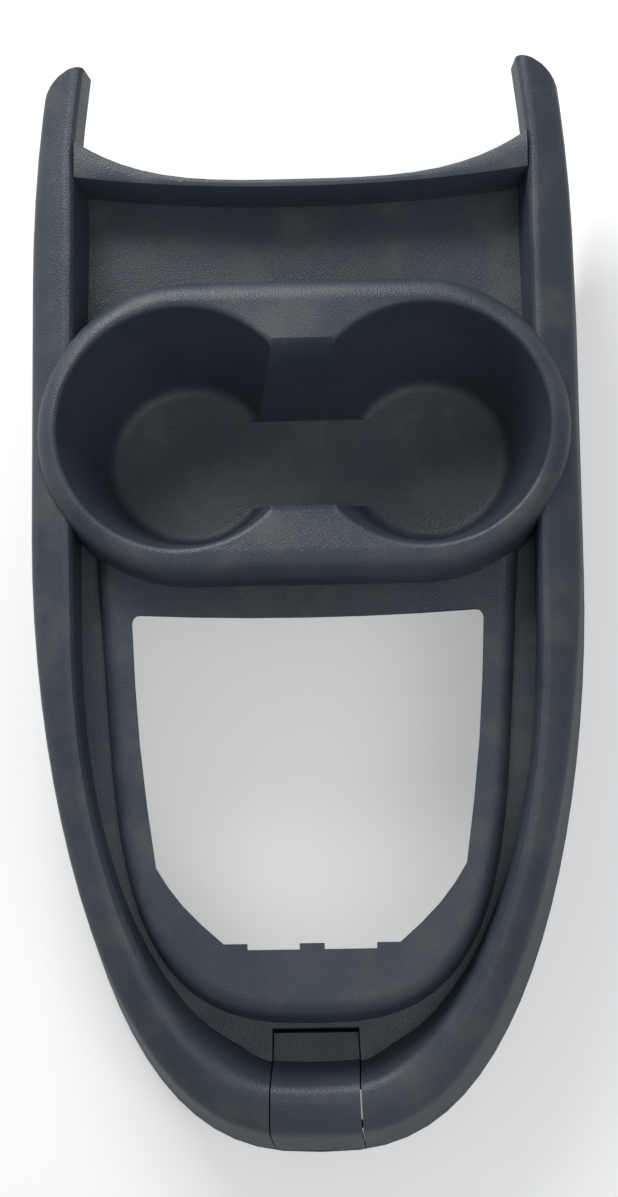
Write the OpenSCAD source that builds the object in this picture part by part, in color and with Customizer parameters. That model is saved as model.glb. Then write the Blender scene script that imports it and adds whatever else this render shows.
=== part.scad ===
// Centre console trim of a small car.
// X points right, Y towards the dashboard and Z up. The origin lies in the plane of the lower rim,
// under the middle of the trim's length and width.

/* [Body] */
// Length from the nose to the tips of the prongs
body_l = 400; // [385:1:430]
// Width across the lower rim
body_w = 210; // [204:1:226]
// Height of the cup ring above the lower rim
body_h = 92; // [88:1:102]
// Height of the rail's crest at the nose
nose_h = 50; // [46:1:56]
// Thickness of the moulded walls
wall = 2.5; // [2.2:0.1:3]

/* [Cup holder] */
// Radius of each cup well at its mouth
cup_r = 45; // [42:0.5:46]
// Distance between the middles of the two wells
cup_spacing = 90; // [86:0.5:92]
// Depth of the wells below the top of the ring
cup_depth = 61; // [50:1:70]
// How much smaller the radius is at the floor of a well
cup_taper = 13; // [8:0.5:16]
// Width of the neck that joins the two wells
neck_w = 60; // [50:1:70]

/* [Tray] */
// Depth of the front tray below its rim
tray_depth = 24; // [18:1:28]

/* [Lever opening] */
// Width of the opening at its front end
opening_front_w = 129; // [110:1:132]
// Width of the opening where its side edges end
opening_rear_w = 113; // [90:1:116]
// Length of the straight rear edge
opening_flat_w = 64; // [50:1:80]

/* [Nose cover] */
// Width of the cover at its inner end
cover_w = 31; // [26:0.5:34]
// Gap at each side of the cover
cover_gap = 0.5; // [0.4:0.05:0.8]
// Radius of the cover's two pins
pin_r = 1.6; // [1.3:0.1:1.9]

/* [Hidden] */
$fn = 64;

plastic = "#3b444b";
steel = "#8a8f94";

// Places along the length, from both ends and from the middle of the cup ring
prong_to_cups = 141;
cups_to_front = 95.5;
rim_w = 3.5;
cups_to_shoulder = 39;
cups_to_bend = 30;
cups_to_slope = 60;
nose_to_crest = 16;
nose_to_floor = 34;
nose_to_deck = 47;
nose_y = -body_l / 2;
tip_y = body_l / 2;
cup_y = tip_y - prong_to_cups;
front_y = cup_y + cups_to_front;
tray_y = front_y - rim_w;
shoulder_y = cup_y - cups_to_shoulder;
crest_bend_y = cup_y - cups_to_bend;
slope_y = cup_y - cups_to_slope;
nose_crest_y = nose_y + nose_to_crest;
nose_floor_y = nose_y + nose_to_floor;
deck_end_y = nose_y + nose_to_deck;

// Heights
ring_over_rail = 6;
prong_rise = 2;
ring_over_deck = 20;
deck_slope = 0.077;
nose_depth = 16;
rail_h = body_h - ring_over_rail;
tray_z = rail_h + prong_rise - tray_depth;
deck_z = body_h - ring_over_deck;
nose_floor_z = nose_h - nose_depth;

// Cross-section of the rail, measured inwards from the lower rim
flare = 4.5;
rail_bend_r = 6;
crest_r = 3;
crest_r_nose = 6;
crest_d = 20;
crest_over = 2;
bend_drop = 5;
front_taper = 5.5;
rim_lift = 34;
prong_flange = 14;
rim_power_x = 2.65;
rim_power_y = 1.93;

// Cup ring
ring_r = cup_r + 11;
ring_reach = body_w / 2 - 7;
ring_x = ring_reach - ring_r;
ring_edge_r = 8;
ring_foot_z = body_h - 14.5;
lip_r = 2.5;
cup_floor_z = body_h - cup_depth;
cup_floor_r = cup_r - cup_taper;

// Deck round the lever opening
deck_w = body_w - 54;
deck_taper = 10;
deck_edge_r = 6;
deck_power_x = 2.8;
deck_power_y = 5.5;
skirt_draft = 1.5;
wall_root = 3;

// Nose cover and its pocket
cover_skin = 2.2;
cover_flare = 1.4;
cover_inner_y = nose_y + 42.5;
cover_inner_gap = 1.8;
strip_h = 2.4;
cover_low_z = 5;
pocket_floor_z = 15;
pocket_half_w = cover_w / 2 + cover_flare + cover_gap + 0.4;
pivot_y = nose_y + 10;
pivot_z = 12;
pin_fit = 0.05;
stud_r = 2.75;
stud_y = nose_y + 31;
pocket_floor_y = nose_y + 22.5;
boss_r = 7;

// Spring clips and their tabs
tab_x = body_w / 2 - 14;
tab_y = tip_y - 24;
tab_w = 16;
tab_t = 2;
tab_drop = 26;
tab_low_z = rail_h - tab_drop;
clip_w = 11;
clip_t = 0.6;
clip_h = 15;
clip_spread = 2.4;

// Far enough to pass through everything
far = 400;
eps = 0.01;

function clamp(v) = max(0, min(1, v));
function unit(v) = v / norm(v);
function reverse(list) = [for (i = [len(list) - 1:-1:0]) list[i]];

// Height of the rail's crest at a place along the length
function crest_z(y) =
    let (down = clamp((crest_bend_y - y) / (crest_bend_y - nose_crest_y)),
         up = clamp((y - crest_bend_y) / (tip_y - crest_bend_y)))
    rail_h + prong_rise * up - (rail_h - nose_h) * pow(down, 1.6);

// Height of the tray's floor, of the grooves beside the deck and of the nose's floor
function floor_z(y) =
    let (s = clamp((slope_y - y) / (slope_y - nose_floor_y)))
    tray_z - (tray_z - nose_floor_z) * s * s;

// Height of the deck round the lever opening
function deck_top(y) = deck_z - deck_slope * (cup_y - ring_r - y);

// Right half of the lower rim, from the prong's tip round to the middle of the nose
rim_steps_straight = 11;
rim_steps_nose = 22;
function rim_straight(y) = [body_w / 2 - front_taper * pow(prong_share(y), 2), y];
function rim_nose(a) =
    [body_w / 2 * pow(cos(a), 2 / rim_power_x),
     shoulder_y - (shoulder_y - nose_y) * pow(sin(a), 2 / rim_power_y)];
rim_half = concat(
    [for (i = [0:rim_steps_straight - 1])
        rim_straight(tip_y + (shoulder_y - tip_y) * i / rim_steps_straight)],
    [for (i = [0:rim_steps_nose]) rim_nose(90 * i / rim_steps_nose)]);

// Place of the lower rim straight ahead of a point near the middle of the nose
function rim_y(x) =
    shoulder_y - (shoulder_y - nose_y) * pow(1 - pow(abs(x) * 2 / body_w, rim_power_x), 1 / rim_power_y);

// Direction pointing into the trim at a point of the right half
function half_normal(path, i) =
    i == len(path) - 1 ? [0, 1]
    : i == 0 ? [-1, 0]
    : let (t = unit(path[i + 1] - path[i - 1])) [t[1], -t[0]];

// Arc points with their outward normals at a rounded corner b between a and c
function corner(a, b, c, r, n) =
    let (u = unit(a - b), v = unit(c - b),
         half = acos(u * v) / 2,
         mid = b + unit(u + v) * r / sin(half),
         na = unit(b + u * r / tan(half) - mid),
         nc = unit(b + v * r / tan(half) - mid))
    [for (k = [0:n]) let (m = unit(na * (1 - k / n) + nc * k / n)) [mid + m * r, m]];

// How far a place lies along the way from the cup ring to the nose, from 0 to 1
function nose_share(y) = clamp((slope_y - y) / (slope_y - nose_crest_y));

// How far a place lies along the way from the tray to the tip of a prong, from 0 to 1
function prong_share(y) = clamp((y - cup_y - cups_to_slope) / (tip_y - cup_y - cups_to_slope));

// Inward distance from the lower rim to the corner of the rail's crest
function peak_d(y) = crest_d - 3.2 * sin(180 * nose_share(y)) - 2 * clamp((y - tray_y + 10) / 25);

// Inward distance from the lower rim to the foot of the rail's inner face
function foot_d(y) =
    peak_d(y) + (y > front_y ? 2 : 1.2 + 2.8 * clamp((y - cup_y) / 50) + 10.8 * pow(nose_share(y), 4));

// Cross-section of a rail as [inward distance, height], lowered by off below the outer skin
function rail_section(y, foot_z, off) =
    let (top = crest_z(y),
         low = rim_lift * pow(prong_share(y), 1.5),
         bend = [flare, top - bend_drop],
         start = [flare * low / bend[1], low],
         peak = [peak_d(y), top + crest_over],
         foot = [foot_d(y), foot_z],
         r = crest_r + (crest_r_nose - crest_r) * pow(nose_share(y), 2),
         arcs = concat(corner(start, bend, peak, rail_bend_r, 2), corner(bend, peak, foot, r, 4)))
    concat([start + [off, 0]], [for (p = arcs) p[0] - p[1] * off], [foot - [off, 0]]);

// One station of the rail on the right half, as 3D points
function station(i, off) =
    let (p = rim_half[i], n = half_normal(rim_half, i),
         foot_y = p[1] + n[1] * foot_d(p[1]),
         foot_z = p[1] > front_y ? crest_z(p[1]) - prong_flange : floor_z(foot_y) - wall_root)
    [for (q = rail_section(p[1], foot_z, off)) [p[0] + n[0] * q[0], p[1] + n[1] * q[0], q[1]]];

function mirrored(points) = [for (p = points) [-p[0], p[1], p[2]]];

// Whole outline from its right half, which ends on the centre line
function both_sides(half) =
    concat(half, [for (i = [len(half) - 2:-1:0]) [-half[i][0], half[i][1]]]);

// Closed solid through a list of closed sections with the same number of points
module loft(sections) {
    n = len(sections[0]);
    m = len(sections);
    sides = [for (i = [0:m - 2], j = [0:n - 1])
        [i * n + j, (i + 1) * n + j, (i + 1) * n + (j + 1) % n, i * n + (j + 1) % n]];
    ends = [[for (j = [0:n - 1]) j], [for (j = [n - 1:-1:0]) (m - 1) * n + j]];
    polyhedron([for (s = sections) each s], concat(sides, ends), convexity = 8);
}

// Side rails, outer walls and prongs, in one run round the nose
module rails() {
    last = len(rim_half) - 1;
    right = [for (i = [0:last]) concat(station(i, 0), reverse(station(i, wall)))];
    left = [for (i = [last - 1:-1:0]) mirrored(right[i])];
    loft(concat(right, left));
}

// Plan of the cup ring, smaller by inset all round
module ring_plan(inset) {
    hull()
        for (s = [-1, 1])
            translate([s * ring_x, cup_y])
                circle(ring_r - inset);
}

// Rounded body of the cup ring, smaller by inset
module ring_body(inset, low) {
    top = body_h - inset;
    r = ring_r - inset;
    e = ring_edge_r - inset;
    arc = [for (a = [0:18:90]) [r - e + e * cos(a), top - e + e * sin(a)]];
    hull()
        for (s = [-1, 1])
            translate([s * ring_x, cup_y])
                rotate_extrude($fn = 48)
                    polygon(concat([[0, low], [r, low]], arc, [[0, top]]));
}

// Skirt that joins the ring to the floors before and behind it
module ring_skirt() {
    intersection() {
        translate([0, 0, tray_z - wall_root])
            linear_extrude(ring_foot_z + wall_root - tray_z)
                difference() {
                    ring_plan(0);
                    ring_plan(wall);
                }
        translate([-(body_w / 2 - 19), 0, 0])
            cube([body_w - 38, far / 2, body_h]);
    }
}

// Space of both wells, larger by grow all round
module wells(grow) {
    top = body_h + (grow == 0 ? eps : -wall / 2);
    floor_r = cup_floor_r + grow;
    low = cup_floor_z - grow;
    fillet = 5;
    lip = grow == 0 ? [for (a = [0:22.5:90]) [cup_r + lip_r * (1 - cos(a)), body_h - lip_r * (1 - sin(a))]] : [];
    for (s = [-1, 1])
        translate([s * cup_spacing / 2, cup_y])
            rotate_extrude()
                polygon(concat(
                    [[0, low], [floor_r - fillet, low]],
                    [for (a = [-60:30:0]) [floor_r - fillet + fillet * cos(a), low + fillet + fillet * sin(a)]],
                    grow == 0 ? lip : [[cup_r + grow, top]],
                    grow == 0 ? [[cup_r + lip_r, top], [0, top]] : [[0, top]]));
    neck_low = neck_w / 2 - cup_taper + grow;
    translate([-cup_spacing / 2, cup_y, 0])
        rotate([90, 0, 90])
            linear_extrude(cup_spacing)
                polygon([
                    [-neck_low, low], [neck_low, low],
                    [neck_w / 2 + grow, body_h - lip_r], [neck_w / 2 + grow + (grow == 0 ? lip_r : 0), top],
                    [-neck_w / 2 - grow - (grow == 0 ? lip_r : 0), top], [-neck_w / 2 - grow, body_h - lip_r]]);
}

// Front edge of the rim, bowed towards the cups
function front_edge(x) = front_y + 14 * pow(abs(x) / (body_w / 2 - 25), 3.5);
function tray_edge(x) = tray_y + 5 * pow(abs(x) / (body_w / 2 - 25), 2.2);

rim_x = [for (i = [-12:12]) (body_w / 2 - 20.5) * sin(90 * i / 12)];

// Rounded cap of the front rim
module rim_cap() {
    top = crest_z(front_y);
    depth = 5;
    e = 1.5;
    loft([for (x = rim_x) let (f = front_edge(x), t = tray_edge(x)) [
        [x, f, top - depth], [x, f, top - e], [x, f - e * 0.3, top - e * 0.3], [x, f - e, top],
        [x, t + e, top], [x, t + e * 0.3, top - e * 0.3], [x, t, top - e], [x, t, top - depth]]]);
}

// Wall between the tray and the open front, and the flange under the rim's front edge
module rim_walls() {
    top = rail_h - 2;
    translate([0, 0, tray_z - wall_root])
        linear_extrude(top - tray_z + wall_root)
            polygon(concat(
                [for (x = rim_x) [x, tray_edge(x)]],
                [for (x = reverse(rim_x)) [x, tray_edge(x) + wall]]));
    translate([0, 0, top - prong_flange])
        linear_extrude(prong_flange)
            polygon(concat(
                [for (x = rim_x) [x, front_edge(x) - wall]],
                [for (x = reverse(rim_x)) [x, front_edge(x)]]));
}

// Right half of the deck's outline, from under the ring round to the middle of the nose
deck_steps = 18;
deck_start_y = cup_y - 30;
function deck_point(a) =
    let (t = pow(sin(a), 2 / deck_power_y))
    [(deck_w / 2 - deck_taper * t) * pow(cos(a), 2 / deck_power_x),
     deck_start_y - (deck_start_y - deck_end_y) * t];
deck_half = [for (i = [0:deck_steps]) deck_point(90 * pow(i / deck_steps, 1.3))];

// Cross-section of the deck's edge as 3D points, from its foot to the flat top, lowered by off
function deck_section(i, off) =
    let (p = deck_half[i], n = half_normal(deck_half, i), e = deck_edge_r,
         foot = floor_z(p[1]) - wall_root,
         top = deck_top(p[1]),
         arc = [for (a = [0:22.5:90]) [e - (e - off) * cos(a), top - e + (e - off) * sin(a)]],
         low = [off - skirt_draft, foot])
    [for (q = concat([low], arc))
        let (y = p[1] + n[1] * q[0])
        [p[0] + n[0] * q[0], y, q[1] == foot ? foot : q[1] + deck_top(y) - top]];

// Raised deck with its rounded edge and skirt
module deck() {
    last = len(deck_half) - 1;
    outer_right = [for (i = [0:last]) deck_section(i, 0)];
    inner_right = [for (i = [0:last]) deck_section(i, wall)];
    outer = concat(outer_right, [for (i = [last - 1:-1:0]) mirrored(outer_right[i])]);
    inner = concat(inner_right, [for (i = [last - 1:-1:0]) mirrored(inner_right[i])]);
    n = len(outer[0]);
    m = len(outer);
    k = n * m;
    outer_sides = [for (i = [0:m - 2], j = [0:n - 2])
        [i * n + j, (i + 1) * n + j, (i + 1) * n + j + 1, i * n + j + 1]];
    inner_sides = [for (f = outer_sides) reverse([for (v = f) v + k])];
    foot = [for (i = [0:m - 2]) [(i + 1) * n, i * n, i * n + k, (i + 1) * n + k]];
    top = [for (i = [0:m - 1]) i * n + n - 1];
    under = reverse([for (v = top) v + k]);
    end = concat(
        [for (j = [0:n - 1]) j],
        [for (j = [n - 1:-1:0]) (m - 1) * n + j],
        [for (j = [0:n - 1]) k + (m - 1) * n + j],
        [for (j = [n - 1:-1:0]) k + j]);
    polyhedron(
        concat([for (s = outer) each s], [for (s = inner) each s]),
        concat(outer_sides, inner_sides, foot, [top], [under], [end]),
        convexity = 8);
}

// Plan inside the rails, as far as the middle of their inner walls
module inside_plan() {
    right = [for (i = [0:len(rim_half) - 1]) if (rim_half[i][1] < tray_y)
        rim_half[i] + half_normal(rim_half, i) * (foot_d(rim_half[i][1]) - wall / 2)];
    polygon(concat(
        [for (x = rim_x) [x, tray_edge(x) + wall / 2]],
        both_sides(right)));
}

// Floor of the tray, of the grooves beside the deck and of the nose, in one plate
module floors() {
    steps = 18;
    bent = [for (i = [0:steps]) nose_floor_y + (slope_y - nose_floor_y) * i / steps];
    ys = concat([nose_y], bent, [tip_y]);
    deck_plan = [for (i = [0:deck_steps])
        deck_half[i] + half_normal(deck_half, i) * (wall / 2 - skirt_draft)];
    intersection() {
        linear_extrude(body_h)
            difference() {
                inside_plan();
                ring_plan(wall / 2);
                polygon(both_sides(deck_plan));
            }
        translate([-body_w / 2, 0, 0])
            rotate([90, 0, 90])
                linear_extrude(body_w)
                    polygon(concat(
                        [for (y = ys) [y, floor_z(y)]],
                        reverse([for (y = ys) [y, floor_z(y) - wall]])));
    }
}

// Opening for the lever, with two shallow notches in its rear edge
module lever_opening() {
    front = cup_y - 65.5;
    rear = nose_y + 73;
    bow = 2;
    r = 3;
    side = opening_rear_w / 2;
    flat = opening_flat_w / 2;
    chamfer_y = rear + 28;
    half = concat(
        [for (k = [0:3]) let (x = (opening_front_w / 2 - r) * k / 3)
            [x, front - bow * (1 - pow(x / (opening_front_w / 2), 2))]],
        [for (a = [60:-30:0]) [opening_front_w / 2 - r + r * cos(a), front - r + r * sin(a)]],
        [for (k = [1:3]) let (s = k / 4)
            [opening_front_w / 2 + (side - opening_front_w / 2) * s + 1.5 * sin(180 * s),
             front - r + (chamfer_y - front + r) * s]],
        [for (k = [0:4]) let (s = k / 4)
            [side + (flat - side) * s + 2.5 * sin(180 * s), chamfer_y + (rear - chamfer_y) * s]]);
    linear_extrude(body_h)
        polygon(concat(half, reverse([for (p = half) if (p[0] > 0) [-p[0], p[1]]])));
    notch_w = 19;
    notch_inner = 4.5;
    notch_depth = 2.2;
    for (s = [-1, 1])
        translate([s * (notch_inner + notch_w / 2), rear, 0])
            translate([-notch_w / 2, -notch_depth, 0])
                cube([notch_w, notch_depth + 2, body_h]);
}

// Rounded corner taken off the outer side of each prong's tip, leaning in with the wall
module tip_cut() {
    reach = 14.5;
    back = 19;
    x = rim_straight(tip_y - back)[0];
    arc = [for (a = [0:15:90]) [x - reach * (1 - cos(a)), tip_y - back + back * sin(a)]];
    plan = concat(arc, [[x - reach, tip_y + 5], [x + 10, tip_y + 5], [x + 10, tip_y - back]]);
    bend_z = crest_z(tip_y) - bend_drop;
    for (s = [0, 1])
        mirror([s, 0, 0])
            loft([for (z = [-eps, body_h + 10])
                [for (p = reverse(plan)) [p[0] - flare * min(1, z / bend_z), p[1], z]]]);
}

// Plan of the cover's strip, larger by grow at the sides
module cover_plan(grow, inner) {
    a = cover_w / 2 + grow;
    b = a + cover_flare;
    polygon([[-a, inner], [a, inner], [b, nose_y - 2], [-b, nose_y - 2]]);
}

// Side wall of the pocket at a distance x from the middle, under the nose's skin
module pocket_side(x) {
    y = rim_y(x);
    skin = rail_section(y, nose_floor_z, wall / 2);
    inner = cover_inner_y + cover_inner_gap + wall - y;
    top = nose_floor_z - wall / 2;
    low = 1;
    translate([x, y, 0])
        rotate([90, 0, 90])
            linear_extrude(wall, center = true)
                polygon(concat(
                    [[wall, low]],
                    [for (i = [1:len(skin) - 1]) skin[i]],
                    [[foot_d(y) + wall, top], [inner, top], [inner, low]]));
}

// Walls and floor of the pocket under the cover
module pocket() {
    half = pocket_half_w + wall / 2;
    inner_y = cover_inner_y + cover_inner_gap;
    floor_low = pocket_floor_z - wall;
    pocket_side(half);
    pocket_side(-half);
    translate([-half, pocket_floor_y, floor_low])
        cube([2 * half, inner_y + wall / 2 - pocket_floor_y, wall]);
    translate([-half, inner_y, floor_low + 1])
        cube([2 * half, wall, nose_floor_z - wall / 2 - floor_low - 1]);
}

// Slot in the nose for the cover, down to a low strip of the outer wall
module cover_slot() {
    inner_y = cover_inner_y + cover_inner_gap;
    translate([0, 0, pocket_floor_z])
        linear_extrude(body_h)
            cover_plan(cover_gap, inner_y);
    translate([0, 0, strip_h])
        linear_extrude(pocket_floor_z)
            cover_plan(cover_gap, pocket_floor_y - wall);
}

// Post that stands on the car's bracket and lets its stud through
module stud_boss() {
    translate([0, stud_y, 2])
        cylinder(r = boss_r, h = pocket_floor_z - wall / 2 - 2);
}

// Tabs under the prongs that carry the spring clips
module clip_tabs() {
    for (s = [-1, 1])
        translate([s * tab_x - tab_t / 2, tab_y - tab_w / 2, tab_low_z])
            cube([tab_t, tab_w, crest_z(tab_y) - bend_drop - tab_low_z]);
}

module console_panel() {
    color(plastic)
        difference() {
            union() {
                difference() {
                    union() {
                        rails();
                        rim_cap();
                        rim_walls();
                        ring_body(0, ring_foot_z);
                    }
                    translate([0, 0, -eps])
                        linear_extrude(ring_foot_z)
                            ring_plan(wall);
                    ring_body(wall, ring_foot_z - wall);
                }
                ring_skirt();
                difference() {
                    deck();
                    translate([0, 0, -eps])
                        linear_extrude(far)
                            ring_plan(wall / 2);
                }
                floors();
                wells(wall);
                pocket();
                stud_boss();
                clip_tabs();
            }
            wells(0);
            lever_opening();
            tip_cut();
            cover_slot();
            translate([0, pivot_y, pivot_z])
                rotate([0, 90, 0])
                    cylinder(r = pin_r + pin_fit, h = 2 * (pocket_half_w + wall + 1), center = true);
            translate([0, stud_y, 0])
                cylinder(r = stud_r, h = nose_h);
        }
}

// Section of the cover at a distance x from the middle, from its lower end to its inner end
function cover_section(x, off) =
    let (y = rim_y(x),
         skin = rail_section(y, nose_floor_z, off),
         last = len(skin) - 1,
         peak = [peak_d(y), crest_z(y) + crest_over],
         foot = [foot_d(y), nose_floor_z],
         slope = unit([peak[1] - foot[1], foot[0] - peak[0]]),
         miter = (slope + [0, 1]) / (1 + slope[1]),
         low_d = flare * cover_low_z / (crest_z(y) - bend_drop))
    [for (q = concat(
        [[low_d + off, cover_low_z]],
        [for (i = [1:last - 1]) skin[i]],
        [foot - miter * off, [cover_inner_y + 2 - y, nose_floor_z - off]]))
        [x, y + q[0], q[1]]];

// Strip that follows the nose from its floor over the crest and down the outer wall
module cover_strip() {
    steps = 6;
    reach = cover_w / 2 + cover_flare + 1;
    intersection() {
        loft([for (k = [-steps:steps]) let (x = -reach * k / steps)
            concat(cover_section(x, 0), reverse(cover_section(x, cover_skin)))]);
        linear_extrude(body_h)
            cover_plan(0, cover_inner_y);
    }
}

// Lug with the pin that the cover swings on
module cover_lug() {
    lug_t = 2.2;
    lug_half_h = 3.2;
    x = cover_w / 2 - 0.3;
    start_y = nose_y + flare * pivot_z / (nose_h - bend_drop) + cover_skin / 2;
    translate([x - lug_t, start_y, pivot_z - lug_half_h])
        cube([lug_t, pivot_y + lug_half_h - start_y, 2 * lug_half_h]);
    translate([x - lug_t / 2, pivot_y, pivot_z])
        rotate([0, 90, 0])
            cylinder(r = pin_r, h = pocket_half_w + wall - x + lug_t / 2);
}

module nose_cover() {
    color(plastic) {
        cover_strip();
        for (s = [0, 1])
            mirror([s, 0, 0])
                cover_lug();
    }
}

// Bent steel clip over one tab, with a barb sprung out at each side
module spring_clip() {
    half = tab_t / 2 + clip_t;
    barb_low = 3;
    barb_h = 8;
    rotate([90, 0, 0])
        linear_extrude(clip_w, center = true) {
            difference() {
                translate([-half, -clip_t])
                    square([2 * half, clip_h + clip_t]);
                translate([-tab_t / 2, 0])
                    square([tab_t, clip_h + 1]);
            }
            for (s = [-1, 1])
                polygon([
                    [s * (half - clip_t / 2), barb_low],
                    [s * (half + clip_spread), barb_low + barb_h],
                    [s * (half + clip_spread - clip_t), barb_low + barb_h],
                    [s * (half - clip_t / 2), barb_low + 2 * clip_t]]);
        }
}

module spring_clips() {
    color(steel)
        for (s = [-1, 1])
            translate([s * tab_x, tab_y, tab_low_z])
                spring_clip();
}

console_panel();
nose_cover();
spring_clips();
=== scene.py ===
"""Looks of a used centre console trim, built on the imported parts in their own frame."""
import math

import bmesh
import bpy
import numpy as np
from mathutils import Matrix, Vector


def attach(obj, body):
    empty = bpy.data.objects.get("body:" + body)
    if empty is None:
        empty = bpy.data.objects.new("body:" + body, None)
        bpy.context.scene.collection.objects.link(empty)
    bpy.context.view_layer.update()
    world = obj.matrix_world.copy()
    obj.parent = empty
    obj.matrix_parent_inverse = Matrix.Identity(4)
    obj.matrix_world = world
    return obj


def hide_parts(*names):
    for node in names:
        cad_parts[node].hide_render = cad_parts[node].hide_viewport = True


MM = 0.001


def add_camera():
    """Camera above the console, leaning a little back, with the photograph's angle of view."""
    place = Vector((0.04664, -0.22736, 1.1838))
    target = Vector((0.001626, -0.00605, 0.092))
    roll = -0.012
    focal_px = 3100.0
    long_side_px = 1197.0
    forward = (target - place).normalized()
    right = forward.cross(Vector((0, 1, 0))).normalized()
    up = right.cross(forward)
    turned_right = right * math.cos(roll) + up * math.sin(roll)
    turned_up = up * math.cos(roll) - right * math.sin(roll)
    data = bpy.data.cameras.new("camera")
    data.sensor_fit = "AUTO"
    data.sensor_width = 36.0
    data.lens = focal_px * data.sensor_width / long_side_px
    data.clip_start = 0.05
    data.clip_end = 20.0
    camera = bpy.data.objects.new("camera", data)
    camera.matrix_world = Matrix((
        (turned_right.x, turned_up.x, -forward.x, place.x),
        (turned_right.y, turned_up.y, -forward.y, place.y),
        (turned_right.z, turned_up.z, -forward.z, place.z),
        (0, 0, 0, 1)))
    bpy.context.scene.collection.objects.link(camera)
    bpy.context.scene.camera = camera


def add_lamp(name, place, target, size, power, colour):
    """Square area lamp at a place, facing a target."""
    data = bpy.data.lights.new(name, "AREA")
    data.size = size
    data.energy = power
    data.color = colour
    lamp = bpy.data.objects.new(name, data)
    direction = Vector(target) - Vector(place)
    lamp.location = place
    lamp.rotation_euler = direction.to_track_quat("-Z", "Y").to_euler()
    bpy.context.scene.collection.objects.link(lamp)


def add_world(strength):
    """Plain grey sky for the object, white where the camera sees it."""
    world = bpy.data.worlds.new("studio")
    bpy.context.scene.world = world
    world.use_nodes = True
    nodes, links = world.node_tree.nodes, world.node_tree.links
    nodes.clear()
    out = nodes.new("ShaderNodeOutputWorld")
    sky = nodes.new("ShaderNodeBackground")
    sky.inputs["Color"].default_value = (0.9, 0.95, 1.0, 1)
    sky.inputs["Strength"].default_value = strength
    white = nodes.new("ShaderNodeBackground")
    white.inputs["Strength"].default_value = 1.0
    path = nodes.new("ShaderNodeLightPath")
    mix = nodes.new("ShaderNodeMixShader")
    links.new(path.outputs["Is Camera Ray"], mix.inputs["Fac"])
    links.new(sky.outputs[0], mix.inputs[1])
    links.new(white.outputs[0], mix.inputs[2])
    links.new(mix.outputs[0], out.inputs["Surface"])


def new_group(name, inputs, outputs):
    """Empty shader node group with named float or colour sockets, and its nodes, links and ends."""
    group = bpy.data.node_groups.new(name, "ShaderNodeTree")
    for label, kind, value in inputs:
        socket = group.interface.new_socket(label, in_out="INPUT", socket_type=kind)
        if value is not None:
            socket.default_value = value
    for label, kind in outputs:
        group.interface.new_socket(label, in_out="OUTPUT", socket_type=kind)
    start = group.nodes.new("NodeGroupInput")
    end = group.nodes.new("NodeGroupOutput")
    return group, start, end


class Tree:
    """Short calls for adding shader nodes to a material or a group and joining them."""

    def __init__(self, tree):
        self.tree = tree

    def node(self, kind, **settings):
        made = self.tree.nodes.new(kind)
        for key, value in settings.items():
            setattr(made, key, value)
        return made

    def plug(self, value, socket):
        if hasattr(value, "links"):
            self.tree.links.new(value, socket)
        else:
            socket.default_value = value

    def math(self, operation, a, b=0.0, clamp=False):
        made = self.node("ShaderNodeMath", operation=operation, use_clamp=clamp)
        self.plug(a, made.inputs[0])
        self.plug(b, made.inputs[1])
        return made.outputs[0]

    def noise(self, place, scale, detail=3.0, roughness=0.5, distortion=0.0):
        made = self.node("ShaderNodeTexNoise")
        self.plug(place, made.inputs["Vector"])
        made.inputs["Scale"].default_value = scale
        made.inputs["Detail"].default_value = detail
        made.inputs["Roughness"].default_value = roughness
        made.inputs["Distortion"].default_value = distortion
        return made.outputs["Fac"]

    def step(self, value, low, high):
        """Smooth step of a value from 0 at low to 1 at high."""
        made = self.node("ShaderNodeMapRange", interpolation_type="SMOOTHSTEP")
        self.plug(value, made.inputs["Value"])
        made.inputs["From Min"].default_value = low
        made.inputs["From Max"].default_value = high
        return made.outputs["Result"]

    def blend(self, share, a, b):
        made = self.node("ShaderNodeMix", data_type="RGBA")
        self.plug(share, made.inputs["Factor"])
        self.plug(a, made.inputs["A"])
        self.plug(b, made.inputs["B"])
        return made.outputs["Result"]

    def group(self, tree, **values):
        made = self.node("ShaderNodeGroup", node_tree=tree)
        for key, value in values.items():
            self.plug(value, made.inputs[key.replace("_", " ")])
        return made


def leather_grain():
    """Group: height of a moulded leather grain, from cell edges that a noise has bent."""
    group, start, end = new_group(
        "leather_grain",
        [("Place", "NodeSocketVector", None), ("Depth", "NodeSocketFloat", 1.0)],
        [("Height", "NodeSocketFloat")])
    t = Tree(group)
    bend = t.node("ShaderNodeTexNoise")
    t.plug(start.outputs["Place"], bend.inputs["Vector"])
    bend.inputs["Scale"].default_value = 500
    bend.inputs["Detail"].default_value = 2
    shift = t.node("ShaderNodeVectorMath", operation="SCALE")
    t.plug(bend.outputs["Color"], shift.inputs[0])
    shift.inputs["Scale"].default_value = 0.0009
    bent = t.node("ShaderNodeVectorMath", operation="ADD")
    t.plug(start.outputs["Place"], bent.inputs[0])
    t.plug(shift.outputs[0], bent.inputs[1])
    cells = t.node("ShaderNodeTexVoronoi", feature="DISTANCE_TO_EDGE")
    t.plug(bent.outputs[0], cells.inputs["Vector"])
    cells.inputs["Scale"].default_value = 900
    ridge = t.step(cells.outputs["Distance"], 0.0, 0.35)
    fine = t.noise(start.outputs["Place"], 2600, 2.0)
    height = t.math("ADD", ridge, t.math("MULTIPLY", fine, 0.35))
    t.plug(t.math("MULTIPLY", height, start.outputs["Depth"]), end.inputs["Height"])
    return group


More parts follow.
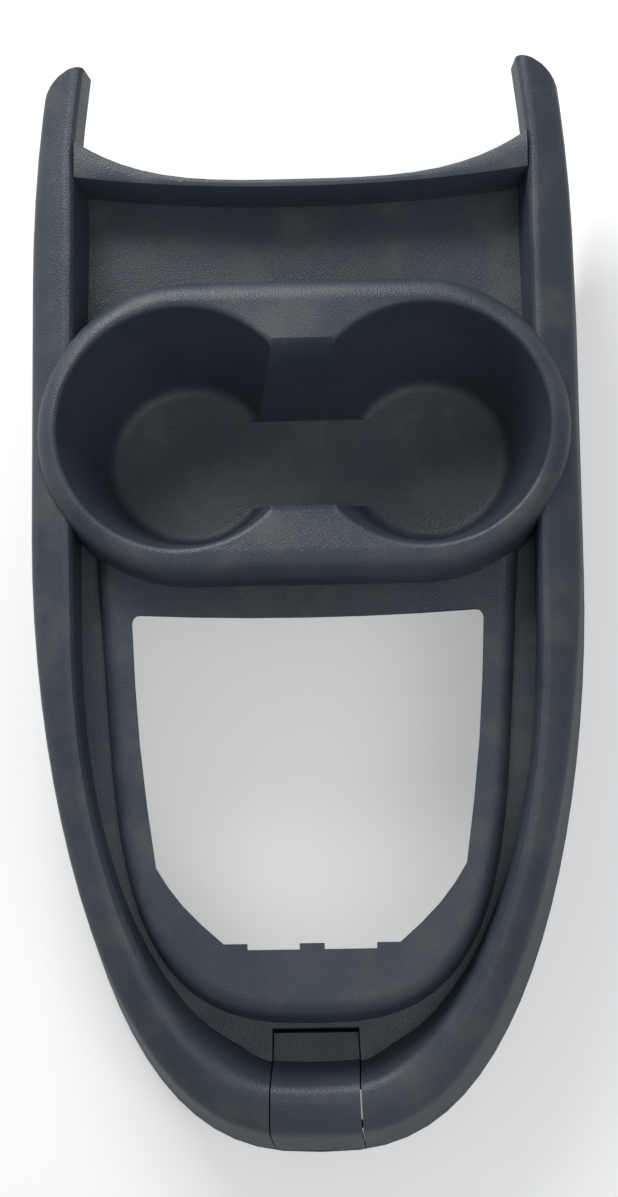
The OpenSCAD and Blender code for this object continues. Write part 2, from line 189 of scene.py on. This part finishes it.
def settled_dust():
    """Group: share of dust on faces that look up, in soft clouds with fine specks."""
    group, start, end = new_group(
        "settled_dust",
        [("Place", "NodeSocketVector", None), ("Amount", "NodeSocketFloat", 0.5)],
        [("Share", "NodeSocketFloat")])
    t = Tree(group)
    geometry = t.node("ShaderNodeNewGeometry")
    split = t.node("ShaderNodeSeparateXYZ")
    t.plug(geometry.outputs["Normal"], split.inputs[0])
    up = t.step(split.outputs["Z"], 0.2, 0.95)
    clouds = t.step(t.noise(start.outputs["Place"], 45, 5.0, 0.6), 0.42, 0.75)
    specks = t.step(t.noise(start.outputs["Place"], 1500, 2.0, 0.6), 0.66, 0.74)
    both = t.math("ADD", t.math("MULTIPLY", clouds, 0.5), t.math("MULTIPLY", specks, 0.6))
    share = t.math("MULTIPLY", t.math("MULTIPLY", both, up), start.outputs["Amount"], clamp=True)
    t.plug(share, end.inputs["Share"])
    return group


def moulded_plastic(name, grain, dust, dust_amount):
    """Blue-grey moulded plastic: mottled colour, leather grain, pale dust and uneven gloss."""
    mat = bpy.data.materials.new(name)
    mat.use_nodes = True
    t = Tree(mat.node_tree)
    bsdf = mat.node_tree.nodes["Principled BSDF"]
    place = t.node("ShaderNodeTexCoord").outputs["Object"]
    patches = t.step(t.noise(place, 16, 4.0, 0.55), 0.35, 0.7)
    base = t.blend(patches, (0.040, 0.054, 0.072, 1), (0.056, 0.072, 0.092, 1))
    dirt = t.group(dust, Place=place, Amount=dust_amount).outputs["Share"]
    t.plug(t.blend(dirt, base, (0.20, 0.19, 0.165, 1)), bsdf.inputs["Base Color"])
    gloss = t.noise(place, 60, 4.0, 0.6)
    rough = t.math("ADD", t.math("MULTIPLY", gloss, 0.16), 0.36)
    t.plug(t.math("ADD", rough, t.math("MULTIPLY", dirt, 0.4), clamp=True), bsdf.inputs["Roughness"])
    bump = t.node("ShaderNodeBump")
    bump.inputs["Strength"].default_value = 0.35
    bump.inputs["Distance"].default_value = 0.0002
    t.plug(t.group(grain, Place=place, Depth=1.0).outputs["Height"], bump.inputs["Height"])
    t.plug(bump.outputs["Normal"], bsdf.inputs["Normal"])
    return mat


def spring_steel():
    """Cold-rolled steel with faint rolling lines and spots of tarnish."""
    mat = bpy.data.materials.new("spring_steel")
    mat.use_nodes = True
    t = Tree(mat.node_tree)
    bsdf = mat.node_tree.nodes["Principled BSDF"]
    place = t.node("ShaderNodeTexCoord").outputs["Object"]
    spots = t.step(t.noise(place, 220, 5.0, 0.65), 0.5, 0.72)
    colour = t.blend(spots, (0.42, 0.43, 0.44, 1), (0.16, 0.13, 0.10, 1))
    t.plug(colour, bsdf.inputs["Base Color"])
    bsdf.inputs["Metallic"].default_value = 1.0
    t.plug(t.math("ADD", t.math("MULTIPLY", spots, 0.3), 0.3), bsdf.inputs["Roughness"])
    lines = t.node("ShaderNodeMapping")
    lines.inputs["Scale"].default_value = (1, 1, 0.05)
    t.plug(place, lines.inputs["Vector"])
    bump = t.node("ShaderNodeBump")
    bump.inputs["Strength"].default_value = 0.2
    bump.inputs["Distance"].default_value = 0.00005
    t.plug(t.noise(lines.outputs[0], 3000, 2.0), bump.inputs["Height"])
    t.plug(bump.outputs["Normal"], bsdf.inputs["Normal"])
    return mat


def floor_paint():
    """Pale matt floor that shows nearly white to the camera and still takes a shadow."""
    mat = bpy.data.materials.new("floor_paint")
    mat.use_nodes = True
    t = Tree(mat.node_tree)
    bsdf = mat.node_tree.nodes["Principled BSDF"]
    bsdf.inputs["Base Color"].default_value = (0.86, 0.86, 0.86, 1)
    bsdf.inputs["Roughness"].default_value = 0.9
    bsdf.inputs["Emission Color"].default_value = (1, 1, 1, 1)
    seen = t.node("ShaderNodeLightPath").outputs["Is Camera Ray"]
    t.plug(t.math("MULTIPLY", seen, 0.35), bsdf.inputs["Emission Strength"])
    return mat


def add_floor():
    """Pale floor just under the lower rim."""
    half = 3.0
    mesh = bpy.data.meshes.new("floor")
    mesh.from_pydata([(-half, -half, 0), (half, -half, 0), (half, half, 0), (-half, half, 0)], [], [(0, 1, 2, 3)])
    floor = bpy.data.objects.new("floor", mesh)
    floor.data.materials.append(floor_paint())
    bpy.context.scene.collection.objects.link(floor)


def smooth_copy(node_name, piece_name, body, angle_deg, material):
    """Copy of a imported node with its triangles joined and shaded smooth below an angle."""
    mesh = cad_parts[node_name].data.copy()
    mesh.name = piece_name
    work = bmesh.new()
    work.from_mesh(mesh)
    bmesh.ops.remove_doubles(work, verts=work.verts, dist=2e-6)
    work.to_mesh(mesh)
    work.free()
    if mesh.attributes.get("custom_normal"):
        mesh.attributes.remove(mesh.attributes["custom_normal"])
    mesh.shade_smooth()
    mesh.set_sharp_from_angle(angle=math.radians(angle_deg))
    mesh.materials.clear()
    mesh.materials.append(material)
    piece = bpy.data.objects.new(piece_name, mesh)
    bpy.context.scene.collection.objects.link(piece)
    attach(piece, body)
    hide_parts(node_name)
    return piece


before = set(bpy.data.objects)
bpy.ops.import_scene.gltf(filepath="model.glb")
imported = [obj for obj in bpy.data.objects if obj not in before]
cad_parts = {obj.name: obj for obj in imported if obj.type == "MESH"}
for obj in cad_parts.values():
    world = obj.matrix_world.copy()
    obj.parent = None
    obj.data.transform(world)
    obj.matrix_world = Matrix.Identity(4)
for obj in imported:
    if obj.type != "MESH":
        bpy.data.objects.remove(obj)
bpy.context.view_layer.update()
bpy.context.scene.view_settings.view_transform = "Standard"
add_camera()
add_world(0.30)
add_lamp("window", (-0.30, 0.75, 0.62), (0, 0.02, 0.06), 0.55, 7.5, (1.0, 0.99, 0.97))
add_lamp("fill", (0.5, -0.6, 1.4), (0, 0, 0.05), 1.0, 5, (1.0, 1.0, 1.0))
add_floor()

grain = leather_grain()
dust = settled_dust()
panel_plastic = moulded_plastic("panel_plastic", grain, dust, 0.5)
cover_plastic = moulded_plastic("cover_plastic", grain, dust, 0.35)
steel = spring_steel()

smooth_copy("console_panel", "trim_moulding", "panel", 33, panel_plastic)
smooth_copy("nose_cover", "cover_moulding", "cover", 33, cover_plastic)
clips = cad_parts["spring_clips"]
clips.data.materials.clear()
clips.data.materials.append(steel)
